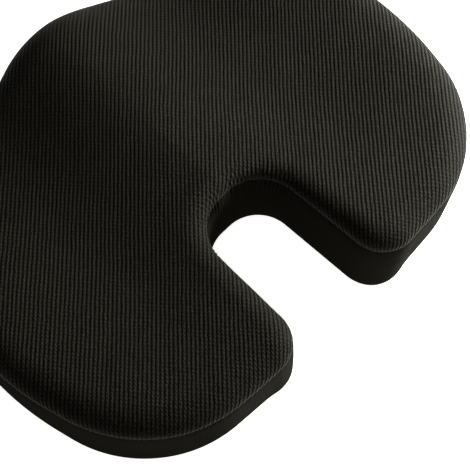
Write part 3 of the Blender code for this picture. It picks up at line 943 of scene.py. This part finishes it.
def strap_part(path, half_width, half_thickness):
    """A flat bent strap: its path lies in XZ, and its section is a rounded rectangle."""
    path = np.asarray(path, float)
    tangents = np.gradient(path, axis=0)
    tangents /= np.linalg.norm(tangents, axis=1)[:, None]
    corners = rectangle((-half_width, -half_thickness), (half_width, half_thickness), STRAP_EDGE_RADIUS)
    section = distinct(rounded_loop(corners, math.radians(30)))
    points = []
    for (x, z), (tx, tz) in zip(path, tangents):
        for across, through in section:
            points.append((x - tz * through, ZIP_Y + across, z + tx * through))
    count = len(section)
    last = (len(path) - 1) * count
    ends = [tuple(range(count)), tuple(reversed(range(last, last + count)))]
    return points, ring_faces(len(path), count, flip=True) + ends


def make_slider(finish):
    floor = COIL_LOW.z - 0.0003 - SLIDER_PLATE
    roof = SLIDER_HIGH.z - SLIDER_PLATE
    x0, x1 = SLIDER_LOW.x, SLIDER_HIGH.x
    middle = (x0 + x1) / 2
    wide = (SLIDER_HIGH.y - SLIDER_LOW.y) / 2
    skin = Skin()
    skin.add_part(*plate_part(slider_outline(), floor, floor + SLIDER_PLATE, PLATE_BEVEL))
    skin.add_part(*plate_part(slider_outline(), roof, SLIDER_HIGH.z, PLATE_BEVEL))
    post = rectangle((x0 + SLIDER_PLATE, ZIP_Y - 0.0003), (x0 + 4 * SLIDER_PLATE, ZIP_Y + 0.0003), 0.0002)
    skin.add_part(*plate_part(post, floor + SLIDER_PLATE / 2, roof + SLIDER_PLATE / 2, 0.0001))
    for side in (-1, 1):
        inner = ZIP_Y + side * (wide - SLIDER_PLATE)
        outer = ZIP_Y + side * (wide - 0.0001)
        low_y, high_y = sorted((inner, outer))
        lip = rectangle((x0 + 0.0022, low_y), (x0 + (x1 - x0) * SHOULDER_SHARE, high_y), 0.0003)
        skin.add_part(*plate_part(lip, floor + SLIDER_PLATE / 2, TAPE_LOW.z - 0.0003, 0.0002))
    skin.add_part(*strap_part(bridge_path(middle, floor), BRIDGE_HALF_WIDTH, SLIDER_PLATE / 2))
    settle(skin.build("zip_slider_body", finish), "slider", "zip_metal", "zipper_slider")


def bridge_path(middle, floor):
    """From the plate, down and round under the rod, and back up into the plate."""
    reach = (SLIDER_HIGH.x - SLIDER_LOW.x) * BRIDGE_SHARE - SLIDER_PLATE / 2
    low = SLIDER_LOW.z + SLIDER_PLATE / 2
    top = floor + SLIDER_PLATE * 0.6
    turn = 0.0011
    path = [(middle - reach, top), (middle - reach, (top + low + turn) / 2)]
    for sine, cosine in quarter_turn(6):
        path.append((middle - reach + turn * (1 - cosine), low + turn * (1 - sine)))
    mirrored = [(2 * middle - x, z) for x, z in reversed(path)]
    return path + mirrored


def make_pull(finish):
    """The pull tab: a frame round the bridge, a rod to swing on, and a ridged blade."""
    hinge_x = (SLIDER_LOW.x + SLIDER_HIGH.x) / 2
    centre_z = (PULL_LOW.z + PULL_HIGH.z) / 2
    half_width = (PULL_HIGH.y - PULL_LOW.y) / 2
    eye_half = BRIDGE_HALF_WIDTH + EYE_CLEARANCE
    neck = eye_half + (half_width - eye_half) * 0.6
    eye_end = (SLIDER_HIGH.x - SLIDER_LOW.x) * BRIDGE_SHARE + EYE_CLEARANCE
    low, high = centre_z - ROD_RADIUS * 0.9, centre_z + ROD_RADIUS * 0.9
    end = PULL_HIGH.x
    corners = both_sides([
        (hinge_x, neck, 0.0002),
        (hinge_x + eye_end, neck, 0.0015),
        (hinge_x + eye_end + 0.0035, half_width, 0.0015),
        (end, half_width, 0.0024),
    ])
    eye = rectangle((hinge_x + ROD_RADIUS, ZIP_Y - eye_half), (hinge_x + eye_end, ZIP_Y + eye_half), 0.0004)
    skin = Skin()
    skin.add_part(*plate_part(corners, low, high, 0.0002, hole=eye))
    rod = [(hinge_x, ZIP_Y - neck + 0.0002, centre_z), (hinge_x, ZIP_Y + neck - 0.0002, centre_z)]
    skin.add_part(*tube(rod, ROD_RADIUS, 14))
    reach = half_width - RIDGE_MARGIN
    for number in range(4):
        x = end - 0.004 - number * RIDGE_PITCH
        ridge = rectangle((x - 0.0004, ZIP_Y - reach), (x + 0.0004, ZIP_Y + reach), 0.0003)
        for level in (low, high):
            skin.add_part(*plate_part(ridge, level - RIDGE_RISE, level + RIDGE_RISE, 0.00012))
    settle(skin.build("zip_pull", finish), "pull", "zip_metal", "zipper_pull_tab")


# ---- materials
class Value:
    """A number in a shader's node tree, so that a pattern reads like a formula."""

    def __init__(self, recipe, socket):
        self.recipe = recipe
        self.socket = socket

    def apply(self, operation, *others):
        return self.recipe.math(operation, self, *others)

    def __add__(self, other):
        return self.apply("ADD", other)

    def __sub__(self, other):
        return self.apply("SUBTRACT", other)

    def __mul__(self, other):
        return self.apply("MULTIPLY", other)

    def __truediv__(self, other):
        return self.apply("DIVIDE", other)

    def __rsub__(self, other):
        return self.recipe.math("SUBTRACT", other, self)

    def power(self, exponent):
        return self.apply("POWER", exponent)

    def sine(self):
        return self.apply("SINE")

    def size(self):
        return self.apply("ABSOLUTE")

    def rounded(self):
        return self.apply("ROUND")

    def fraction(self):
        return self.apply("FRACT")

    def ramp(self, low, high):
        """0 under low, 1 over high, smooth between them."""
        node = self.recipe.node("ShaderNodeMapRange")
        node.interpolation_type = "SMOOTHSTEP"
        self.recipe.feed(node.inputs["Value"], self)
        self.recipe.feed(node.inputs["From Min"], low)
        self.recipe.feed(node.inputs["From Max"], high)
        return Value(self.recipe, node.outputs["Result"])


class Recipe:
    """One material, written as a small node tree."""

    def __init__(self, name, roughness, metallic=0.0):
        self.material = bpy.data.materials.new(name)
        self.material.use_nodes = True
        self.tree = self.material.node_tree
        self.shader = self.tree.nodes["Principled BSDF"]
        self.shader.inputs["Roughness"].default_value = roughness
        self.shader.inputs["Metallic"].default_value = metallic

    def node(self, kind):
        return self.tree.nodes.new(kind)

    def feed(self, socket, value):
        if isinstance(value, Value):
            self.tree.links.new(value.socket, socket)
        else:
            socket.default_value = value

    def math(self, operation, *values):
        node = self.node("ShaderNodeMath")
        node.operation = operation
        for socket, value in zip(node.inputs, values):
            self.feed(socket, value)
        return Value(self, node.outputs[0])

    def cloth_place(self):
        """The cloth's own coordinates, in metres."""
        source = self.node("ShaderNodeUVMap")
        source.uv_map = "cloth"
        split = self.node("ShaderNodeSeparateXYZ")
        self.tree.links.new(source.outputs["UV"], split.inputs[0])
        return Value(self, split.outputs["X"]), Value(self, split.outputs["Y"]), source.outputs["UV"]

    def noise(self, place, size, detail=2.0, roughness=0.5):
        """Smooth noise, about 0 to 1, whose features are about size metres across."""
        node = self.node("ShaderNodeTexNoise")
        node.inputs["Scale"].default_value = 1 / size
        node.inputs["Detail"].default_value = detail
        node.inputs["Roughness"].default_value = roughness
        self.tree.links.new(place, node.inputs["Vector"])
        return Value(self, node.outputs["Fac"])

    def object_place(self):
        return self.node("ShaderNodeTexCoord").outputs["Object"]

    def colour(self, share, dark, light):
        """Base colour between two colours."""
        mix = self.node("ShaderNodeMix")
        mix.data_type = "RGBA"
        mix.inputs["A"].default_value = (*dark, 1)
        mix.inputs["B"].default_value = (*light, 1)
        self.feed(mix.inputs["Factor"], share)
        self.tree.links.new(mix.outputs["Result"], self.shader.inputs["Base Color"])

    def relief(self, height, depth):
        """Bump of a height from 0 to 1, depth metres deep."""
        node = self.node("ShaderNodeBump")
        node.inputs["Distance"].default_value = depth
        node.inputs["Strength"].default_value = 1.0
        self.feed(node.inputs["Height"], height)
        self.tree.links.new(node.outputs["Normal"], self.shader.inputs["Normal"])

    def sheen(self, weight, roughness, tint):
        self.shader.inputs["Sheen Weight"].default_value = weight
        self.shader.inputs["Sheen Roughness"].default_value = roughness
        self.shader.inputs["Sheen Tint"].default_value = (*tint, 1)

    def set(self, name, value):
        self.shader.inputs[name].default_value = value


def mesh_cloth():
    """Spacer mesh: ribs of slanting knitted loops, with a row of holes in each groove."""
    recipe = Recipe("spacer_mesh", 0.60)
    across, along, place = recipe.cloth_place()
    drift = recipe.noise(place, 0.012) - 0.5
    fray = recipe.noise(place, 0.0011, detail=1.0) - 0.5
    rib = across / RIB_PITCH + drift * 0.30 + fray * 0.42
    row = (along + across * ROW_SKEW) / LOOP_PITCH + drift * 0.6 + fray * 0.55
    from_groove = (rib - rib.rounded()).size()
    from_hole = (row.fraction() - 0.5).size()
    spread = (from_groove * 4.2).power(2.0) + (from_hole * 3.2).power(2.0)
    hole = 1 - spread.ramp(0.35, 1.25)
    crown = from_groove.ramp(0.06, 0.42)
    loop = ((row + rib) * TURN).sine() * 0.5 + 0.5
    fibre = recipe.noise(place, 0.0007, detail=2.0, roughness=0.7)
    height = crown * 0.45 + crown * loop * 0.45 + fibre * 0.16 - hole * 0.35 + 0.35
    recipe.relief(height, 0.0010)
    patch = recipe.noise(place, 0.035)
    # Painted highlights: the crests of the knit loops are painted lighter as sheen, and random specks are
    # painted lighter as glints, over a random fibre tone.
    glint = recipe.noise(place, 0.0009, detail=1.0).ramp(0.50, 0.78)
    painted_highlights_and_fibre_tone = (loop * 0.85 + 0.08 + glint * 1.3) * (fibre * 1.6 + 0.15)
    # Painted shade: the grooves between the ribs and the holes in them are painted darker; the patches are a
    # random tone of the cloth.
    light = (crown * 0.85 + 0.15) * painted_highlights_and_fibre_tone * (patch * 0.5 + 0.75) * (1 - hole)
    recipe.colour(light, (0.0025, 0.0022, 0.0011), (0.0223, 0.0211, 0.0155))
    recipe.sheen(0.035, 0.32, (1.0, 0.97, 0.88))
    recipe.set("Specular IOR Level", 0.02)
    return recipe.material


def band_cloth():
    """Smooth knit of the side band: fine ribs up the wall."""
    recipe = Recipe("band_knit", 0.62)
    across, along, place = recipe.cloth_place()
    drift = recipe.noise(place, 0.010) - 0.5
    rib = across / BAND_RIB_PITCH + drift * 0.5
    wale = (rib * TURN).sine() * 0.5 + 0.5
    stitch = ((along / 0.0011 + wale * 0.5) * TURN).sine() * 0.5 + 0.5
    fibre = recipe.noise(place, 0.00045, detail=2.0, roughness=0.7)
    height = wale * 0.45 + stitch * 0.2 + fibre * 0.35
    recipe.relief(height, 0.00025)
    patch = recipe.noise(place, 0.03)
    light = (wale * 0.25 + 0.6) * (stitch * 0.2 + 0.75) * (fibre * 0.9 + 0.5) * (patch * 0.5 + 0.75)
    recipe.colour(light, (0.0010, 0.0009, 0.0006), (0.0100, 0.0094, 0.0068))
    recipe.sheen(0.012, 0.40, (1.0, 0.97, 0.85))
    recipe.set("Specular IOR Level", 0.0)
    return recipe.material


def base_cloth():
    """Plain woven underside."""
    recipe = Recipe("base_weave", 0.8)
    across, along, place = recipe.cloth_place()
    warp, weft = [(way * (TURN / WEAVE_PITCH)).sine() for way in (across, along)]
    weave = warp * weft * 0.5 + 0.5
    fibre = recipe.noise(place, 0.0004)
    recipe.relief(weave * 0.7 + fibre * 0.3, 0.00025)
    patch = recipe.noise(place, 0.02)
    light = weave * 0.6 + fibre * 0.2 + patch * 0.2
    recipe.colour(light, (0.0030, 0.0029, 0.0024), (0.0140, 0.0134, 0.0112))
    recipe.sheen(0.04, 0.5, (1.0, 0.97, 0.85))
    recipe.set("Specular IOR Level", 0.08)
    return recipe.material


def grip_silicone():
    recipe = Recipe("grip_silicone", 0.42)
    patch = recipe.noise(recipe.object_place(), 0.004)
    recipe.colour(patch, (0.008, 0.008, 0.008), (0.015, 0.015, 0.015))
    recipe.relief(recipe.noise(recipe.object_place(), 0.0005), 0.00005)
    return recipe.material


def thread_finish(name, light):
    recipe = Recipe(name, 0.6)
    twist = recipe.noise(recipe.object_place(), 0.0005)
    recipe.colour(twist, (light * 0.4,) * 3, (light,) * 3)
    recipe.relief(twist, 0.0001)
    recipe.sheen(0.3, 0.4, (1.0, 1.0, 1.0))
    return recipe.material


def tape_weave():
    """Zip tape: a fine herringbone."""
    recipe = Recipe("zip_tape_weave", 0.75)
    along, across, place = recipe.cloth_place()
    lane = (across / 0.0016).fraction() - 0.5
    diagonal = ((along / 0.0007 + lane.size() * 2.4) * TURN).sine() * 0.5 + 0.5
    fibre = recipe.noise(place, 0.0003)
    recipe.relief(diagonal * 0.7 + fibre * 0.3, 0.0002)
    recipe.colour(diagonal * 0.7 + fibre * 0.3, (0.0030, 0.0030, 0.0028), (0.0160, 0.0158, 0.0150))
    recipe.set("Specular IOR Level", 0.10)
    return recipe.material


def coil_nylon():
    recipe = Recipe("coil_nylon", 0.34)
    patch = recipe.noise(recipe.object_place(), 0.006)
    recipe.colour(patch, (0.012, 0.012, 0.012), (0.024, 0.024, 0.024))
    return recipe.material


def zip_metal():
    """Black lacquer on zinc, with fine scratches."""
    recipe = Recipe("zip_lacquer", 0.33, 0.75)
    place = recipe.object_place()
    grain = recipe.noise(place, 0.0009, detail=4.0, roughness=0.7)
    patch = recipe.noise(place, 0.005)
    recipe.colour(patch * 0.6 + grain.ramp(0.62, 0.80) * 0.4, (0.030, 0.030, 0.032), (0.115, 0.115, 0.118))
    recipe.relief(grain, 0.00003)
    return recipe.material


def foam_finish():
    """Moulded foam: a matt skin with open pores."""
    recipe = Recipe("memory_foam", 0.92)
    place = recipe.object_place()
    pores = recipe.noise(place, 0.0012, detail=3.0, roughness=0.65)
    patch = recipe.noise(place, 0.04)
    recipe.relief(pores.ramp(0.30, 0.60), 0.0004)
    # Painted shade: the pores are painted darker, where the relief sinks them; the patches are a random tone
    # of the foam.
    recipe.colour(pores.ramp(0.3, 0.55) * 0.7 + patch * 0.3, (0.55, 0.49, 0.34), (0.80, 0.75, 0.60))
    return recipe.material


def liner_knit():
    recipe = Recipe("liner_knit", 0.85)
    across, along, place = recipe.cloth_place()
    wale = (across * (TURN / 0.0012)).sine() * 0.5 + 0.5
    course = ((along / 0.001 + wale * 0.4) * TURN).sine() * 0.5 + 0.5
    recipe.relief(wale * 0.5 + course * 0.5, 0.0002)
    recipe.colour(wale * 0.5 + course * 0.5, (0.50, 0.50, 0.48), (0.74, 0.74, 0.72))
    return recipe.material


# ---- stage
TARGET = Vector((-0.0036, 0.0553, 0.0))
CAMERA_AZIMUTH = 131.9
CAMERA_ELEVATION = 65.7
CAMERA_ROLL = -2.5
CAMERA_DISTANCE = 1.069
CAMERA_LENS = 97.0
FLOOR_HALF = 6.0


def camera_axes():
    """The directions right, up and back of the camera before its roll."""
    azimuth, elevation = math.radians(CAMERA_AZIMUTH), math.radians(CAMERA_ELEVATION)
    level = math.cos(elevation)
    back = Vector((math.sin(azimuth) * level, -math.cos(azimuth) * level, math.sin(elevation)))
    right = Vector((math.cos(azimuth), math.sin(azimuth), 0))
    return right, back.cross(right), back


def make_camera():
    right, up, back = camera_axes()
    data = bpy.data.cameras.new("camera")
    data.lens = CAMERA_LENS
    data.sensor_width = 36
    data.clip_start = 0.05
    camera = bpy.data.objects.new("camera", data)
    bpy.context.scene.collection.objects.link(camera)
    turned = Matrix((right, up, back)).transposed() @ Matrix.Rotation(-math.radians(CAMERA_ROLL), 3, "Z")
    camera.matrix_world = Matrix.Translation(TARGET + back * CAMERA_DISTANCE) @ turned.to_4x4()
    bpy.context.scene.camera = camera


def soft_light(name, direction, distance, size, power):
    """A square softbox that faces the cushion from a direction."""
    data = bpy.data.lights.new(name, "AREA")
    data.shape = "SQUARE"
    data.size = size
    data.energy = power
    light = bpy.data.objects.new(name, data)
    bpy.context.scene.collection.objects.link(light)
    ray = Vector(direction).normalized()
    light.location = Vector((0, 0, 0.05)) + ray * distance
    light.rotation_mode = "QUATERNION"
    light.rotation_quaternion = ray.to_track_quat("Z", "Y")


def make_stage():
    mesh = bpy.data.meshes.new("floor")
    corners = [(x * FLOOR_HALF, y * FLOOR_HALF, 0) for x, y in ((-1, -1), (1, -1), (1, 1), (-1, 1))]
    mesh.from_pydata(corners, [], [(0, 1, 2, 3)])
    floor = bpy.data.objects.new("floor", mesh)
    bpy.context.scene.collection.objects.link(floor)
    recipe = Recipe("pale_floor", 0.9)
    recipe.set("Base Color", (0.90, 0.90, 0.90, 1))
    recipe.set("Specular IOR Level", 0.1)
    recipe.set("Emission Color", (1, 1, 1, 1))
    recipe.set("Emission Strength", 0.93)
    mesh.materials.append(recipe.material)
    world = bpy.data.worlds.new("studio")
    world.use_nodes = True
    sky = world.node_tree.nodes["Background"].inputs
    sky["Color"].default_value = (1, 1, 1, 1)
    sky["Strength"].default_value = 0.08
    bpy.context.scene.world = world
    bpy.context.scene.view_settings.view_transform = "Standard"


def make_lights():
    right, up, _ = camera_axes()
    away = Vector((up.x, up.y, 0)).normalized()
    lift = Vector((0, 0, 1))
    soft_light("key", (right * 0.88 + away * 0.46) + lift * 0.30, 0.78, 0.42, 31)
    soft_light("fill", (right - away) * 0.68 + lift * 0.26, 2.2, 1.2, 3)
    soft_light("front", lift * 0.55 - away * 0.80 - right * 0.15, 2.2, 1.4, 6)
    soft_light("top", lift, 2.4, 1.8, 3)


def main():
    make_camera()
    make_stage()
    make_lights()
    outline = Outline()
    thread = thread_finish("sewing_thread", 0.03)
    metal = zip_metal()
    make_cover_top(outline, mesh_cloth())
    make_cover_band(outline, band_cloth())
    weave, grip = base_cloth(), grip_silicone()
    make_cover_base("cover_base_rear", "bottom_panel_rear", outline, 1, weave, grip)
    make_cover_base("cover_base_front", "bottom_panel_front", outline, -1, weave, grip)
    make_stitches("top_seam_stitches", "top_seam_thread", outline, top_stitch, thread)
    make_stitches("bottom_seam_stitches", "bottom_seam_thread", outline, bottom_stitch, thread)
    knit = liner_knit()
    make_liner_upper(outline, knit)
    make_liner_base(outline, knit)
    make_foam(outline, foam_finish())
    tape, nylon = tape_weave(), coil_nylon()
    for place, side in (("rear", 1), ("front", -1)):
        make_zip_tape("zip_tape_" + place, "zipper_tape_" + place, tape)
        make_zip_coil("zip_coil_" + place, "zipper_coil_" + place, side, nylon, thread)
        make_zip_stop("zip_top_stop_" + place, "zipper_top_stop_" + place, metal)
    make_zip_stop("zip_bottom_stop", "zipper_bottom_stop", metal)
    make_slider(metal)
    make_pull(metal)


main()
